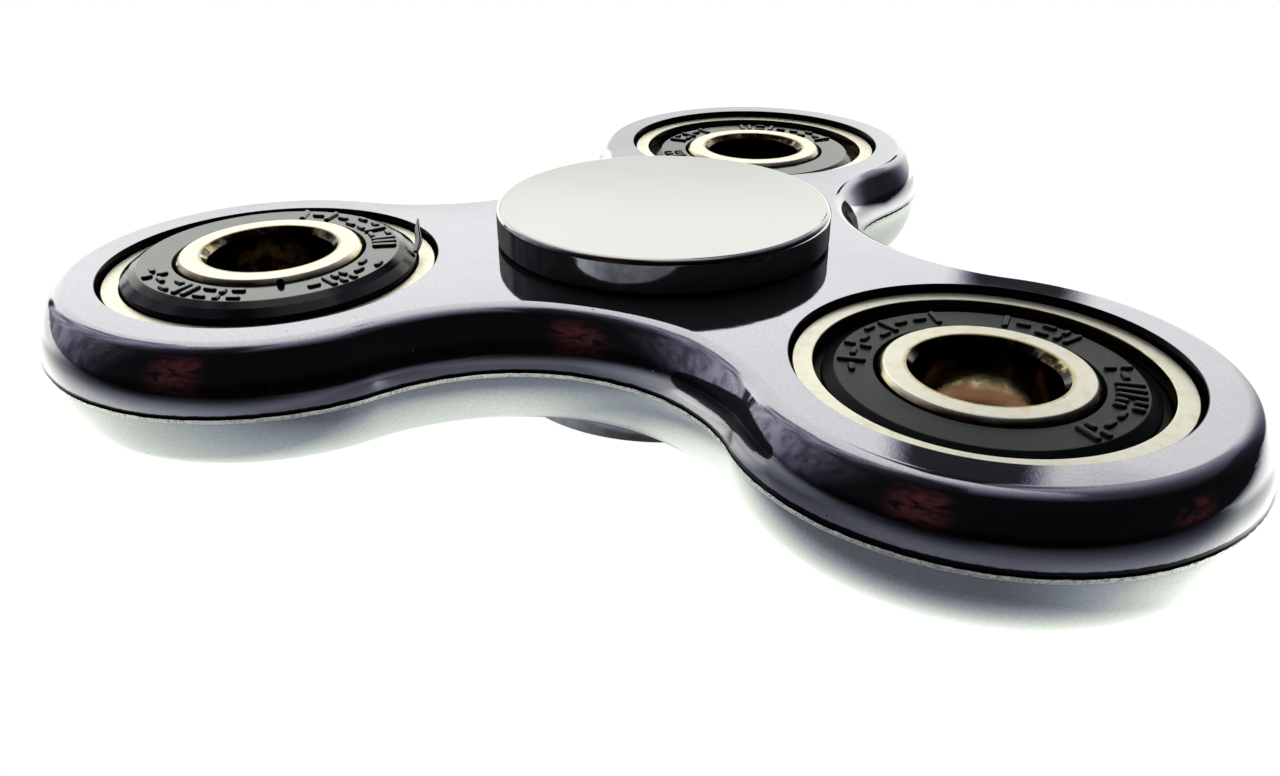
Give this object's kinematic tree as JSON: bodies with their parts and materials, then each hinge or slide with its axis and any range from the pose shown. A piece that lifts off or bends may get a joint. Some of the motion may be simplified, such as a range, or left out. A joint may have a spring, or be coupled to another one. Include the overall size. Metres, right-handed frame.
{
  "type": "fidget spinner",
  "caption": "Three-lobed metal fidget spinner with a ball bearing in the centre and in each lobe, held between two round finger caps.",
  "frame": {"origin": "centre of the lower finger cap's bottom face, on the axis the body spins about", "axes": "+Z along the spin axis, out of the upper cap; +Y towards the back lobe, with the other two lobes at -30 and 210 degrees from +X"},
  "size_m": [0.0764, 0.0702, 0.013],
  "materials": {
    "plated_body": "polished",
    "cap_chrome": "polished",
    "ring_steel": "satin",
    "ball_steel": "polished",
    "cage_nylon": "satin",
    "seal_rubber": "satin",
    "insert_steel": "satin"
  },
  "bodies": {
    "finger_hub": {"upper_cap": "cap_chrome", "lower_cap": "cap_chrome", "centre_inner_ring": "ring_steel"},
    "spinner": {"spinner_body": "plated_body", "centre_outer_ring": "ring_steel", "right_outer_ring": "ring_steel", "back_outer_ring": "ring_steel", "left_outer_ring": "ring_steel", "centre_upper_seal": "seal_rubber", "centre_upper_seal_insert": "insert_steel", "centre_lower_seal": "seal_rubber", "centre_lower_seal_insert": "insert_steel", "right_upper_seal": "seal_rubber", "right_upper_seal_insert": "insert_steel", "right_lower_seal": "seal_rubber", "right_lower_seal_insert": "insert_steel", "back_upper_seal": "seal_rubber", "back_upper_seal_insert": "insert_steel", "back_lower_seal": "seal_rubber", "back_lower_seal_insert": "insert_steel", "left_lower_seal": "seal_rubber", "left_lower_seal_insert": "insert_steel"},
    "centre_balls_and_cage": {"centre_balls": "ball_steel", "centre_cage": "cage_nylon"},
    "right_inner": {"right_inner_ring": "ring_steel"},
    "right_balls_and_cage": {"right_balls": "ball_steel", "right_cage": "cage_nylon"},
    "back_inner": {"back_inner_ring": "ring_steel"},
    "back_balls_and_cage": {"back_balls": "ball_steel", "back_cage": "cage_nylon"},
    "left_inner": {"left_inner_ring": "ring_steel", "left_upper_seal": "seal_rubber", "left_upper_seal_insert": "insert_steel"},
    "left_balls_and_cage": {"left_balls": "ball_steel", "left_cage": "cage_nylon"}
  },
  "joints": [
    {"name": "spinner_spin", "type": "hinge", "parent": "finger_hub", "child": "spinner", "pos_m": [0, 0, 0.0065], "axis": [0, 0, 1], "continuous": true},
    {"name": "centre_cage_orbit", "type": "hinge", "parent": "finger_hub", "child": "centre_balls_and_cage", "pos_m": [0, 0, 0.0065], "axis": [0, 0, 1], "continuous": true},
    {"name": "right_inner_spin", "type": "hinge", "parent": "spinner", "child": "right_inner", "pos_m": [0.02325, -0.01342, 0.0065], "axis": [0, 0, 1], "continuous": true},
    {"name": "right_cage_orbit", "type": "hinge", "parent": "spinner", "child": "right_balls_and_cage", "pos_m": [0.02325, -0.01342, 0.0065], "axis": [0, 0, 1], "continuous": true},
    {"name": "back_inner_spin", "type": "hinge", "parent": "spinner", "child": "back_inner", "pos_m": [0, 0.02685, 0.0065], "axis": [0, 0, 1], "continuous": true},
    {"name": "back_cage_orbit", "type": "hinge", "parent": "spinner", "child": "back_balls_and_cage", "pos_m": [0, 0.02685, 0.0065], "axis": [0, 0, 1], "continuous": true},
    {"name": "left_inner_spin", "type": "hinge", "parent": "spinner", "child": "left_inner", "pos_m": [-0.02325, -0.01342, 0.0065], "axis": [0, 0, 1], "continuous": true},
    {"name": "left_cage_orbit", "type": "hinge", "parent": "spinner", "child": "left_balls_and_cage", "pos_m": [-0.02325, -0.01342, 0.0065], "axis": [0, 0, 1], "continuous": true}
  ],
  "couplings": [
    {"joint": "centre_cage_orbit", "follows": "spinner_spin", "ratio": 0.63227},
    {"joint": "right_cage_orbit", "follows": "right_inner_spin", "ratio": 0.36773},
    {"joint": "back_cage_orbit", "follows": "back_inner_spin", "ratio": 0.36773},
    {"joint": "left_cage_orbit", "follows": "left_inner_spin", "ratio": 0.36773}
  ]
}
